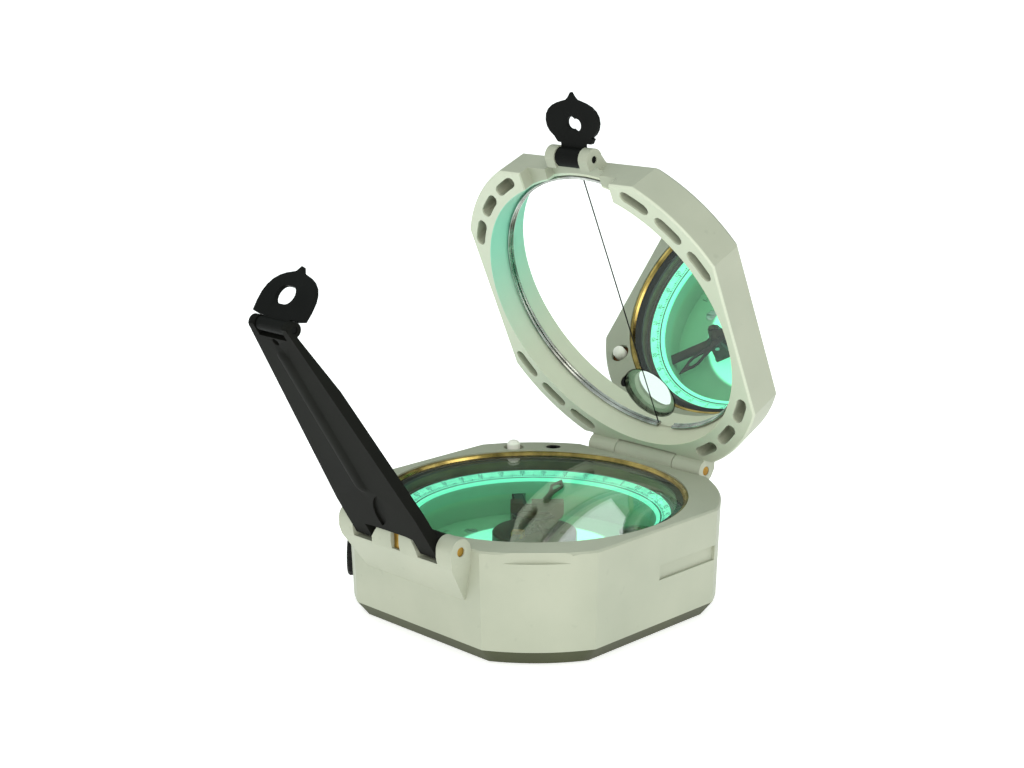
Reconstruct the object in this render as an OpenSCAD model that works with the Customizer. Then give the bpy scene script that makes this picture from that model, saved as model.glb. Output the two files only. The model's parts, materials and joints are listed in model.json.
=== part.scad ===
// Geology compass: a pocket transit with a hinged mirror lid, a folding
// sighting arm, a needle compass, a clinometer and two spirit levels.
// Frame: origin at the centre of the base's underside, +Z up,
// +X from the sighting arm towards the lid hinge, Y across.

/* [Case] */
// Radius of the circle that rounds the four corners
case_r = 40; // [39.7:0.1:40.4]
// Distance from the middle to each end flat
flat_x = 35.1; // [34.9:0.1:35.3]
// Distance from the middle to each side flat
flat_y = 35.5; // [35.3:0.1:35.8]
// Height of the case's top face
case_h = 24.1; // [24:0.1:24.2]
// Height of the dark base plate
base_h = 3.3; // [2.9:0.1:3.6]
// How much the case walls lean in towards the base
draft = 0.7; // [0.4:0.1:0.9]
// Radius of the round opening that holds the crystal
open_r = 33.1; // [33:0.1:33.3]

/* [Lid] */
// How far the lid stands open, from closed
lid_open = 66.15; // [40:0.05:100]
// Thickness of the lid
lid_t = 9.66; // [9.3:0.02:10]
// Depth of the mirror below the lid's inner rim
mirror_depth = 5.8; // [5.5:0.1:6]
// Radius of the mirror
mirror_r = 32.7; // [32.4:0.1:32.8]
// Distance of the see-through window from the middle
window_x = 23.8; // [22.5:0.1:24]
// Radius of the see-through window
window_r = 5.15; // [4.5:0.05:5.5]

/* [Sights] */
// Direction of the sighting arm, from +X
arm_dir = 121.4; // [110:0.1:130]
// Length of the sighting arm, from its hinge to the small sight's hinge
arm_len = 56; // [54:0.5:57]
// Half width of the arm at its tip
arm_tip = 6; // [5.8:0.1:6.4]
// Direction of the arm's small sight, from +X
arm_sight_dir = 54; // [50:1:62]
// Direction of the lid's small sight, from +X
lid_sight_dir = 95; // [90:1:100]

/* [Instrument] */
// Direction of the needle's north end, from +X
needle_dir = 30; // [20:1:34]
// Length of the needle's north half
needle_len = 25.3; // [24:0.1:25.6]
// Height of the needle's blade
needle_z = 18; // [17.9:0.05:18.1]
// Direction of the clinometer's pointer, from +X
clino_dir = 235; // [200:1:250]
// Radius of the damping drum
drum_r = 9.2; // [8.8:0.1:9.4]

/* [Hidden] */

big = 120;
eps = 0.01;
lid_gap = 0.24;
lid_z0 = case_h + lid_gap;
hinge_x = 37.77;
hinge_z = case_h + 0.15;
arm_x = -37.8;
arm_z = case_h;
pin_dir = 52.24;            // lift pin, lever and bracket lie along this direction
pin_rad = 35.92;
knob_dir = 135;
knob_z = 10;
lever_r = 14;               // lever pivot's distance from the middle
lever_z = 14.4;
ring_z = 14.55;             // underside of the graduated ring
white = [0.80, 0.81, 0.74];
black = [0.09, 0.09, 0.08];
brass = [0.72, 0.56, 0.22];
steel = [0.62, 0.63, 0.64];
mint = [0.47, 1.0, 0.84];
sage = [0.43, 0.68, 0.5];
bronze = [0.3, 0.28, 0.18];

// ---------- helpers ----------

// Half space below a plane that leans: passes (d_low, z_low) and (d_high, z_high), facing direction a
module lean(a, d_low, z_low, d_high, z_high)
  rotate([0, 0, a]) translate([d_high, 0, z_high])
    rotate([0, atan((d_high - d_low) / (z_high - z_low)), 0])
      translate([-2 * big, -big, -big]) cube([2 * big, 2 * big, 2 * big]);

// Block with the instrument's outline, inset by i0 at z0 and i1 at z1
module outline_block(z0, z1, i0, i1)
  intersection() {
    translate([0, 0, z0]) cylinder(h = z1 - z0, r1 = case_r - i0, r2 = case_r - i1, $fn = 160);
    lean(0, flat_x - i0, z0, flat_x - i1, z1);
    lean(180, flat_x - i0, z0, flat_x - i1, z1);
    lean(90, flat_y - i0, z0, flat_y - i1, z1);
    lean(270, flat_y - i0, z0, flat_y - i1, z1);
  }

// Cylinder along Y from y0 to y1 through (x, z)
module ycyl(x, z, r, y0, y1, f = 64)
  translate([x, y1, z]) rotate([90, 0, 0]) cylinder(h = y1 - y0, r = r, $fn = f);

// Outline in the XZ plane, from y0 to y1
module yplate(pts, y0, y1)
  translate([0, y1, 0]) rotate([90, 0, 0]) linear_extrude(height = y1 - y0) polygon(pts);

// Both sides, mirrored in Y
module both() { children(); mirror([0, 1, 0]) children(); }

// Places a part drawn on a closed lid
module on_lid() translate([hinge_x, 0, hinge_z]) rotate([0, lid_open, 0]) translate([-hinge_x, 0, -hinge_z]) children();

// Places a part drawn on the arm folded flat, hinge axis at the origin
module on_arm() translate([arm_x, 0, arm_z]) rotate([0, -arm_dir, 0]) children();

// Ring with a rectangular section
module ring(r0, r1, z0, z1, f = 96)
  rotate_extrude($fn = f) translate([r0, z0]) square([r1 - r0, z1 - z0]);

// Turned part from a profile of [radius, height] points
module turned(pts, f = 96) rotate_extrude($fn = f) polygon(pts);

// ---------- case ----------

arm_slot_z = 21.2;

module body_case() color(white) {
  difference() {
    union() {
      difference() {
        union() {
          outline_block(base_h, case_h - 0.4, draft, 0.013);
          outline_block(case_h - 0.4, case_h, 0.0, 0.35);
          // boss under the arm's hinge
          intersection() {
            yplate([[-34.4, 12.4], [-35, 12.9], [-40, 20.6], [-40.45, 22.6], [-40.45, case_h], [-34.4, case_h]], -17, 17);
            translate([-60, 0, 0]) rotate([90, 0, 90]) linear_extrude(height = 40)
              polygon([[-14.6, 12], [14.6, 12], [17, 22], [17, 27], [-17, 27], [-17, 22]]);
          }
          // boss under the lid's hinge
          yplate([[34.4, 15.5], [34.9, 16.2], [39.4, 21.8], [40.1, 23.3], [hinge_x, case_h], [34.4, case_h]], -8.5, 8.5);
        }
        // inner room: dial room, then the seat of the bezel and crystal
        translate([0, 0, 5.4]) cylinder(h = 30, r = 30.9, $fn = 128);
        translate([0, 0, 19]) cylinder(h = 20, r = open_r, $fn = 160);
      }
      // arm hinge lugs
      both() ycyl(arm_x, arm_z, 2.65, 12.6, 17);
      intersection() {
        ycyl(arm_x, arm_z, 2.65, -6.9, 6.9);
        translate([-60, 0, 0]) rotate([90, 0, 90]) linear_extrude(height = 40)
          polygon([[-6.9, 15], [6.9, 15], [6.7, 22.4], [5.6, 24], [4.6, 25.3], [4, 27], [-4, 27], [-4.6, 25.3], [-5.6, 24], [-6.7, 22.4]]);
      }
      // lid hinge knuckle
      ycyl(hinge_x, hinge_z, 2.5, -8.5, 8.5);
    }
    // room for the arm's feet
    both() {
      ycyl(arm_x, arm_z, 2.95, 6.9, 12.6);
      translate([arm_x - 4, 6.9, arm_z - 1]) cube([7.0, 5.7, 6]);
      translate([arm_x - 4, 6.9, arm_z - 2.95]) cube([4, 5.7, 6]);
    }
    // curved flanks of the middle lug
    translate([-44, 0, 0]) rotate([90, 0, 90]) linear_extrude(height = 9.2)
      polygon([[5.6, 24], [6.7, 22.4], [6.9, 21.2], [7.6, 21.2], [7.6, 26], [5.2, 26]]);
    translate([-44, 0, 0]) rotate([90, 0, 90]) linear_extrude(height = 9.2)
      polygon([[-5.6, 24], [-6.7, 22.4], [-6.9, 21.2], [-7.6, 21.2], [-7.6, 26], [-5.2, 26]]);
    // slot of the arm's brass spring
    translate([-42, -1.6, arm_slot_z]) cube([3.4, 2.4, 8]);
    // arm hinge bore
    ycyl(arm_x, arm_z, 1, -20, 20);
    // lid hinge bore, and room for the lid's outer knuckles
    ycyl(hinge_x, hinge_z, 1, -20, 20);
    // tripod slots in both side flats
    both() translate([0.5, -flat_y - 1, 12.9]) cube([17.6, 1.95, 3.2]);
    // hand notch along the top of the front corner
    rotate([0, 0, 225]) translate([39.35, -8.55, case_h - 2.2]) cube([4, 17.1, 4]);
    // lift pin bore, its guide and the lever's pocket
    rotate([0, 0, pin_dir]) {
      translate([pin_rad, 0, 17]) cylinder(h = 10, r = 2.35, $fn = 48);
      translate([pin_rad, 0, 12]) cylinder(h = 8, r = 1.05, $fn = 48);
      translate([29, -1.8, 10.9]) cube([9.2, 3.6, 3.7]);
    }
    // lock screw's hole
    translate([28.8, 22, 15]) cylinder(h = 12, r = 0.9, $fn = 32);
    translate([28.8, 22, 20.6]) cylinder(h = 6, r = 1.8, $fn = 48);
    // adjusting knob: seat, seal groove and shaft bore
    rotate([0, 0, knob_dir]) translate([0, 0, knob_z]) rotate([0, 90, 0]) {
      translate([0, 0, 38.7]) cylinder(h = 3, r = 4.7, $fn = 64);
      translate([0, 0, 37.5]) cylinder(h = 3, r = 2.4, $fn = 48);
      translate([0, 0, 28]) cylinder(h = 12, r = 1.55, $fn = 48);
    }
    // clinometer shaft bore and its seal groove
    translate([0, 0, 0]) cylinder(h = 8, r = 2.05, $fn = 48);
    translate([0, 0, 4.4]) cylinder(h = 3, r = 2.9, $fn = 48);
    // screw holes for the base plate and for the dial
    for (p = base_pts) translate([p[0], p[1], 0]) cylinder(h = 7.4, r = 1, $fn = 32);
  }
}

base_pts = [[26.5, 21.3], [-26.5, 21.3], [-26.5, -21.3], [26.5, -21.3]];

module base_plate() color([0.33, 0.34, 0.22]) difference() {
  outline_block(0, base_h, 3.3, 0.75);
  // round well that the clinometer lever turns in
  translate([0, 0, -1]) cylinder(h = 3.3, r = 18, $fn = 96);
  cylinder(h = 10, r = 2.1, $fn = 48);
  for (p = base_pts) translate([p[0], p[1], -1]) {
    cylinder(h = 8, r = 1.2, $fn = 32);
    cylinder(h = 2.4, r = 2, $fn = 48);
  }
  // seats of the rubber feet
  for (p = pad_pts) translate([p[0], p[1], -1]) cylinder(h = 1.9, r = 2.2, $fn = 48);
}

pad_pts = [[24, 0], [-24, 0], [0, 26], [0, -26]];

module base_pads() color(black) for (p = pad_pts) translate([p[0], p[1], 0]) cylinder(h = 0.9, r = 2.2, $fn = 48);

module base_screws() color(steel) for (p = base_pts) translate([p[0], p[1], 0]) difference() {
  union() {
    translate([0, 0, 0.3]) cylinder(h = 1.1, r = 1.9, $fn = 48);
    translate([0, 0, 1.3]) cylinder(h = 5.7, r = 1, $fn = 32);
  }
  translate([-2.5, -0.3, 0]) cube([5, 0.6, 0.8]);
}

// ---------- window ----------

module bezel_ring() color(brass) turned([[32.3, 21.7], [open_r, 21.7], [open_r, 23.7], [32.85, 23.85], [32.35, 23.65], [31.95, 23.1], [32.3, 23.1]], 160);

module crystal() color([0.85, 0.95, 0.9, 0.3]) translate([0, 0, 21.6]) cylinder(h = 1.5, r = 32.2, $fn = 160);

module crystal_gasket() color(black) ring(30.6, 32.2, 21, 21.6, 128);

module spacer_ring() color(brass) turned([[30.6, 19], [open_r, 19], [open_r, 21.7], [32.3, 21.7], [32.3, 21], [30.6, 21]], 160);

// ---------- dial and fixed instruments ----------

lvl = [16.7, -14.9];        // middle of the round level

module dial_plate() color(sage) difference() {
  union() {
    translate([0, 0, 8.6]) cylinder(h = 1, r = 28, $fn = 128);
    turned([[26.6, 5.4], [30.85, 5.4], [30.85, 14.45], [26.6, 14.45]], 128);
    for (a = [90, 210, 330]) rotate([0, 0, a]) translate([20, 0, 5.4]) cylinder(h = 3.6, r = 2.2, $fn = 32);
  }
  translate([0, 0, 6]) cylinder(h = 8, r = 2.05, $fn = 48);
  // pocket of the drive roller, open to the shaft and to the ring above
  rotate([0, 0, knob_dir]) translate([27.3, -4.8, 5]) cube([2.7, 9.6, 12]);
  rotate([0, 0, knob_dir]) translate([27, 0, knob_z]) rotate([0, 90, 0]) cylinder(h = 8, r = 1.75, $fn = 48);
  // channel of the lift lever
  rotate([0, 0, pin_dir]) translate([26, -1.6, 11]) cube([6, 3.2, 6]);
  // dial screws
  for (a = [90, 210, 330]) rotate([0, 0, a]) translate([20, 0, 5]) {
    cylinder(h = 6, r = 0.8, $fn = 32);
    translate([0, 0, 4]) cylinder(h = 2, r = 1.5, $fn = 32);
  }
}

module dial_screws() color(steel) for (a = [90, 210, 330]) rotate([0, 0, a]) translate([20, 0, 0]) difference() {
  union() {
    translate([0, 0, 5.45]) cylinder(h = 3.6, r = 0.8, $fn = 32);
    translate([0, 0, 9]) cylinder(h = 0.6, r = 1.45, $fn = 32);
  }
  translate([-2, -0.2, 9.3]) cube([4, 0.4, 1]);
}

module round_level_cup() color(bronze) translate([lvl[0], lvl[1], 0])
  turned([[0, 9.6], [3.9, 9.6], [3.9, 13.6], [3.6, 13.9], [3.2, 13.9], [3.2, 10.5], [0, 10.5]], 64);

module round_level_glass() color([0.6, 0.85, 0.5, 0.5]) translate([lvl[0], lvl[1], 0]) intersection() {
  translate([0, 0, 10.5]) cylinder(h = 6, r = 3.2, $fn = 64);
  translate([0, 0, 7.2]) sphere(r = 7.5, $fn = 96);
}

module lift_bracket() color(bronze) rotate([0, 0, pin_dir]) difference() {
  union() {
    translate([11.8, -3.3, 9.6]) cube([4.6, 6.6, 1]);
    both() yplate([[11.8, 9.6], [16.4, 9.6], [15.4, 15], [14.6, 15.9], [13.4, 15.9], [12.6, 15]], 1.9, 3.3);
  }
  ycyl(lever_r, lever_z, 0.6, -5, 5, 32);
}

module lift_lever_pin() color(steel) rotate([0, 0, pin_dir]) ycyl(lever_r, lever_z, 0.6, -3.5, 3.5, 32);

module lift_lever() color(bronze) rotate([0, 0, pin_dir]) difference() {
  union() {
    yplate([[6, 14.75], [12.4, 14.75], [15.6, 12.9], [37.3, 12.9], [37.6, 13.3], [37.3, 13.9], [16.6, 13.9], [13.6, 15.65], [6, 15.65]], -1.1, 1.1);
    translate([-3.2, -2.6, 14.75]) cube([9.8, 5.2, 0.9]);
    ycyl(lever_r, lever_z, 1.5, -1.5, 1.5, 48);
  }
  translate([-4, -1.2, 14]) cube([6.4, 2.4, 3]);
  ycyl(lever_r, lever_z, 0.66, -5, 5, 32);
}

module lift_pin() color([0.95, 0.94, 0.9]) rotate([0, 0, pin_dir]) translate([pin_rad, 0, 0])
  turned([[0, 14], [0.8, 14], [1, 14.2], [1, 20.9], [2.2, 20.9], [2.2, 21.9], [1.5, 21.9], [1.5, 25], [1.2, 25.5], [0.7, 25.75], [0, 25.8]], 48);

spring_n = 5;               // turns of the lift pin's spring
spring_w = 0.24;            // radius of its wire
function spring_pt(i, k) = let (t = 360 * i / 12, s = i / (12 * spring_n), a = 45 * k, rr = 1.7 + spring_w * cos(a))
  [rr * cos(t), rr * sin(t), 17.3 + 3.3 * s + spring_w * sin(a)];
module lift_spring() color(steel) rotate([0, 0, pin_dir]) translate([pin_rad, 0, 0]) {
  n = 12 * spring_n;
  polyhedron(points = [for (i = [0:n], k = [0:7]) spring_pt(i, k)],
    faces = concat(
      [for (i = [0:n - 1], k = [0:7]) [8 * i + k, 8 * i + (k + 1) % 8, 8 * (i + 1) + (k + 1) % 8, 8 * (i + 1) + k]],
      [[for (k = [7:-1:0]) k]], [[for (k = [0:7]) 8 * n + k]]));
}

module lift_pin_bush() color([0.3, 0.25, 0.2]) rotate([0, 0, pin_dir]) translate([pin_rad, 0, 0]) ring(1.56, 2.35, 22, 23.2, 48);

module lock_screw() color(black) translate([28.8, 22, 0]) difference() {
  union() {
    translate([0, 0, 15]) cylinder(h = 7, r = 0.9, $fn = 32);
    translate([0, 0, 20.6]) cylinder(h = 3.35, r = 1.7, $fn = 48);
  }
  translate([0, 0, 22.4]) cylinder(h = 3, r = 0.95, $fn = 6);
}

// ---------- graduated ring and its drive ----------

module graduated_ring() color(mint)
  turned([[26.3, ring_z], [30.2, ring_z], [30.2, 19], [29.4, 19.15], [27.5, 18.2], [27.35, 18.05], [26.55, 18.05], [26.3, 17.9]], 160);

module knob_axis() rotate([0, 0, knob_dir]) translate([0, 0, knob_z]) rotate([0, 90, 0]) children();

module adjust_knob() color(black) knob_axis() difference() {
  translate([0, 0, 0]) turned([[1.5, 38.8], [4.4, 38.8], [4.4, 40.1], [4.0, 40.5], [0, 40.5], [0, 39.8], [1.5, 39.8]], 64);
  translate([-5, -0.5, 40.1]) cube([10, 1, 2]);
  for (a = [0:20:340]) rotate([0, 0, a]) translate([4.55, 0, 39.2]) cylinder(h = 3, r = 0.35, $fn = 16);
}

module adjust_shaft() color(steel) knob_axis() translate([0, 0, 27.4]) cylinder(h = 12.4, r = 1.5, $fn = 48);

module drive_roller() color(brass) knob_axis() ring(1.5, 3.5, 27.6, 29.6, 64);

module roller_tyre() color(black) knob_axis() ring(3.5, 4.5, 27.6, 29.6, 64);

module knob_seal() color(black) knob_axis() ring(1.57, 2.4, 37.5, 38.7, 48);

// ---------- clinometer ----------

module clinometer_shaft() color(steel) {
  translate([0, 0, 0.5]) cylinder(h = 9.3, r = 2, $fn = 48);
  translate([0, 0, 9.7]) cylinder(h = 1, r = 2, $fn = 48);
}

module clinometer_lever() color(black) rotate([0, 0, clino_dir]) difference() {
  union() {
    translate([0, 0, 0.5]) cylinder(h = 1.6, r = 4.4, $fn = 48);
    translate([0, -2.2, 0.5]) cube([14.5, 4.4, 1.6]);
    translate([14.5, 0, 0.5]) cylinder(h = 1.6, r = 2.2, $fn = 48);
    translate([12, -2.2, 0.3]) cube([4, 4.4, 0.6]);
  }
  cylinder(h = 10, r = 2, $fn = 48);
}

module clinometer_seal() color(black) ring(2.06, 2.9, 4.4, 5.3, 48);

// Middle line of the tubular level
tube_d = 14.5;
tube_z = 12.75;
tube_l = 9.8;

module clinometer_vernier() color(bronze) rotate([0, 0, clino_dir]) difference() {
  union() {
    translate([0, 0, 9.8]) cylinder(h = 0.8, r = 6, $fn = 64);
    translate([0, -3, 9.8]) cube([24, 6, 0.8]);
    intersection() {
      ring(21.5, 25.8, 9.8, 10.6, 96);
      rotate([0, 0, -14]) translate([0, 0, 9]) linear_extrude(height = 3) polygon([[0, 0], [30, 0], [30 * cos(28), 30 * sin(28)]]);
    }
  }
  cylinder(h = 20, r = 2, $fn = 48);
}

module level_holder() color(brass) rotate([0, 0, clino_dir]) difference() {
  union() {
    ycyl(tube_d, tube_z, 2.1, -tube_l, tube_l, 48);
    translate([tube_d - 2.1, -tube_l, 10.6]) cube([4.2, 2 * tube_l, 1.4]);
  }
  ycyl(tube_d, tube_z, 1.5, -tube_l + 0.8, tube_l - 0.8, 48);
  translate([tube_d - 1.1, -6, 13.2]) cube([2.2, 12, 3]);
}

module level_vial() color([0.7, 0.95, 0.5, 0.5]) rotate([0, 0, clino_dir]) ycyl(tube_d, tube_z, 1.5, -tube_l + 0.8, tube_l - 0.8, 48);

module damping_drum() color(bronze) difference() {
  turned([[2, 10.6], [drum_r, 10.6], [drum_r, 14.1], [drum_r - 0.3, 14.4], [1, 14.4], [1, 10.8], [2, 10.8]], 96);
  for (a = [60:120:300]) rotate([0, 0, a]) translate([6.4, 0, 13.2]) cylinder(h = 2, r = 0.8, $fn = 24);
}

module needle_pivot() color(steel) turned([[0, 10.7], [1, 10.7], [1, 14.25], [0.6, 14.85], [0.6, 17.35], [0, 18.6]], 32);

// ---------- needle ----------

// Half of the north end's outline: a narrow bar, an open loop and an arrow
module needle_blade() color(black) rotate([0, 0, needle_dir]) translate([0, 0, needle_z]) difference() {
  union() {
    linear_extrude(height = 0.4) polygon([[3, -1], [15, -0.65], [18.4, -1.15], [20.2, -1.5], [21.6, -1.35], [22.6, -0.9], [needle_len, 0],
      [22.6, 0.9], [21.6, 1.35], [20.2, 1.5], [18.4, 1.15], [15, 0.65], [3, 1]]);
    linear_extrude(height = 0.4) polygon([[-3, -1.1], [-24.6, -0.55], [-25.2, 0], [-24.6, 0.55], [-3, 1.1]]);
    cylinder(h = 0.4, r = 4.6, $fn = 64);
  }
  translate([0, 0, -1]) cylinder(h = 3, r = 3.85, $fn = 64);
  // gap in the ring for the hub's boss
  rotate([0, 0, 45 - needle_dir]) translate([-1.65, -5.4, -1]) cube([3.3, 3.1, 3]);
  translate([0, 0, -1]) linear_extrude(height = 3) polygon([[17, 0], [18.6, -0.6], [20.2, -0.9], [21.5, -0.75], [22.4, 0], [21.5, 0.75], [20.2, 0.9], [18.6, 0.6]]);
}

module needle_hub() color(bronze) difference() {
  union() {
    translate([0, 0, 17.1]) cylinder(h = 1.9, r = 3.85, $fn = 64);
    // cross bar with a notch, and the round boss at its heavy end
    rotate([0, 0, 45]) translate([-1.6, 0, 0]) {
      rotate([90, 0, 90]) linear_extrude(height = 3.2)
        polygon([[5.2, 18.8], [5.2, 21], [2.45, 21], [2.45, 19.4], [0.6, 19.4], [0.6, 21], [-6.3, 21], [-6.3, 18.8]]);
      translate([0, -4.35, 19.05]) rotate([0, 90, 0]) cylinder(h = 3.2, r = 1.95, $fn = 48);
    }
  }
  // bearing room
  translate([0, 0, 16]) cylinder(h = 3.25, r = 1.35, $fn = 32);
  // seats of the magnets
  rotate([0, 0, needle_dir]) both() translate([-2.2, 2.2, 17.4]) cube([4.4, 0.8, 1.3]);
}

module needle_magnets() color(steel) rotate([0, 0, needle_dir]) both() translate([-2.2, 2.2, 17.4]) cube([4.4, 0.8, 1.3]);

module needle_jewel() color([0.8, 0.2, 0.3]) turned([[0, 19.25], [1.35, 19.25], [1.35, 17.95], [1.1, 17.95], [0, 18.8]], 32);

module needle_weight() color(brass) rotate([0, 0, needle_dir]) translate([-14, 0, needle_z + 0.2]) difference() {
  translate([-1, -1.25, -0.65]) cube([2, 2.5, 1.3]);
  translate([-2, -0.84, -0.2]) cube([4, 1.68, 0.4]);
}

// ---------- lid ----------

// Weight-saving pocket between two directions
function polar(r, a) = [r * cos(a), r * sin(a)];
module rim_pocket(a0, a1)
  translate([0, 0, lid_z0 - 1]) linear_extrude(height = 5.5) polygon(concat(
    [for (i = [0:4]) polar(37.75, a0 + 2 + (a1 - a0 - 4) * i / 4)],
    [polar(37.45, a1 - 0.7), polar(36.95, a1), polar(36.05, a1), polar(35.55, a1 - 0.7)],
    [for (i = [4:-1:0]) polar(35.25, a0 + 2 + (a1 - a0 - 4) * i / 4)],
    [polar(35.55, a0 + 0.7), polar(36.05, a0), polar(36.95, a0), polar(37.45, a0 + 0.7)]));

sight_x = -37.66;
sight_w = 4.8;

module lid_frame() color(white) on_lid() difference() {
  union() {
    difference() {
      union() {
        outline_block(lid_z0, lid_z0 + 0.35, 0.35, 0);
        outline_block(lid_z0 + 0.35, lid_z0 + lid_t - 1.2, 0, 0.15);
        outline_block(lid_z0 + lid_t - 1.2, lid_z0 + lid_t, 0.15, 1.2);
        // lugs of the small sight
        both() {
          ycyl(sight_x, lid_z0 + sight_w, 2.35, 3.5, 6.1);
          yplate([[-34.4, lid_z0 + 2.5], [sight_x, lid_z0 + 2.5], [-39.95, lid_z0 + 5.3], [-39.1, lid_z0 + 6.6], [-35, lid_z0 + 8], [-34.4, lid_z0 + 8]], 3.5, 6.1);
        }
        // hinge knuckles' roots
        both() yplate([[34.4, lid_z0 + 0.1], [hinge_x, lid_z0 + 0.1], [40.05, lid_z0 + 0.9], [39, lid_z0 + 2.6], [35, lid_z0 + 4.6], [34.4, lid_z0 + 4.6]], 8.7, 16.7);
      }
      // room of the mirror, open towards the case
      turned([[0, lid_z0 - 1], [33.5, lid_z0 - 1], [33.5, lid_z0 + 0.2], [33, lid_z0 + 4.9], [33, lid_z0 + mirror_depth + 1.2], [0, lid_z0 + mirror_depth + 1.2]], 160);
      // lowered rim under the arm
      translate([-36, -12.9, lid_z0 - 1]) cube([8, 25.8, 4]);
      // room for the small sight folded over the mirror
      translate([-36, -7.8, lid_z0 - 1]) cube([8, 15.6, 6.15]);
    }
    both() ycyl(hinge_x, hinge_z, 2.5, 8.7, 16.7);
  }
  // see-through window
  translate([window_x, 0, lid_z0]) cylinder(h = 20, r = window_r, $fn = 96);
  translate([window_x, 0, lid_z0 + lid_t - 1]) cylinder(h = 4, r1 = window_r, r2 = window_r + 3.4, $fn = 96);
  // pockets in the rim
  for (q = [0, 1], s = [[25, 36.5], [39.5, 51], [54.5, 66]]) {
    rotate([0, 0, 180 * q]) rim_pocket(s[0], s[1]);
    rotate([0, 0, 180 * q]) rim_pocket(-s[1], -s[0]);
  }
  // bores: hinge pin runs in the knuckles, the small sight's pin is held
  ycyl(hinge_x, hinge_z, 1.05, -20, 20);
  ycyl(sight_x, lid_z0 + sight_w, 0.8, -20, 20, 32);
}

module lid_mirror() color([0.8, 0.85, 0.85]) on_lid() difference() {
  translate([0, 0, lid_z0 + mirror_depth]) cylinder(h = 1.2, r = mirror_r, $fn = 160);
}

module mirror_ring() color(steel) on_lid() translate([0, 0, lid_z0 + mirror_depth - 0.45])
  rotate_extrude(angle = 352, $fn = 160) translate([32.45, 0]) circle(r = 0.42, $fn = 24);

// Thin line laid across the middle of the mirror
module sighting_line() color(black) on_lid() translate([-32.05, -0.15, lid_z0 + mirror_depth - 0.06]) cube([64.1, 0.3, 0.06]);

module lid_hinge_pin() color(brass) ycyl(hinge_x, hinge_z, 1, -16.6, 16.6);

// ---------- small sights ----------

// Sight leaf standing along +X from its hinge at the origin, hinge along Y:
// a barrel, and a flat leaf offset upwards by d, whose half outline runs up to its pointed tip
module sight_leaf(bar_r, bar_y, half, d, bore) difference() {
  union() {
    ycyl(0, 0, bar_r, -bar_y, bar_y, 48);
    both() translate([0, 0, d - 0.45]) linear_extrude(height = 0.9) polygon(concat([[0, -0.01], [0, bar_y]], half));
  }
  ycyl(0, 0, bore, -20, 20, 32);
}

lid_leaf = [[2.95, 3.3], [3.1, 4.3], [4.2, 5.2], [5.2, 6.5], [6.2, 7.2], [7.5, 7.5], [8.8, 7.3], [9.9, 6.6], [10.8, 5.4], [11.4, 4],
            [11.8, 2.6], [12.1, 1.4], [12.7, 0.7], [13.7, -0.01]];
arm_leaf = [[1.62, 3.9], [1.62, 5.6], [2, 7.6], [4, 7.8], [6, 7.7], [7.5, 7.2], [8.8, 6.3], [9.8, 5], [10.5, 3.5], [10.9, 2], [11.2, 1],
            [12.3, 0.2], [12.3, -0.01]];

module lid_sight() color(black) on_lid() translate([sight_x, 0, lid_z0 + sight_w])
  rotate([0, -(lid_sight_dir + lid_open), 0]) difference() {
    union() {
      sight_leaf(2.15, 3.3, lid_leaf, -0.5, 0.84);
      // catch on one side of the leaf
      translate([0, 0, -0.95]) linear_extrude(height = 0.9) polygon([[3.1, -3], [3.1, -5.3], [4.2, -6], [4.4, -5.5], [4.2, -5], [4.6, -3]]);
    }
    // hole of two lobes
    translate([7.3, 0.1, -3]) cylinder(h = 6, r = 1.35, $fn = 48);
    translate([6.9, -1.35, -3]) cylinder(h = 6, r = 1.35, $fn = 48);
  }

module lid_sight_pin() color(black) on_lid() ycyl(sight_x, lid_z0 + sight_w, 0.8, -5.8, 5.8, 32);

module arm_sight() color(black) translate([arm_x + arm_len * cos(arm_dir), 0, arm_z + arm_len * sin(arm_dir)])
  translate([1.2 * -sin(arm_dir), 0, 1.2 * cos(arm_dir)])
  rotate([0, -arm_sight_dir, 0]) difference() {
    sight_leaf(1.35, 3.9, arm_leaf, 0, 0.74);
    for (y = [0, 1.4]) translate([6.2, y, -3]) cylinder(h = 6, r = 1.9, $fn = 48);
    translate([4.3, 0, -3]) cube([3.8, 1.4, 6]);
  }

// ---------- sighting arm ----------

web_v0 = 1.5;
web_v1 = 2.7;

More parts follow.
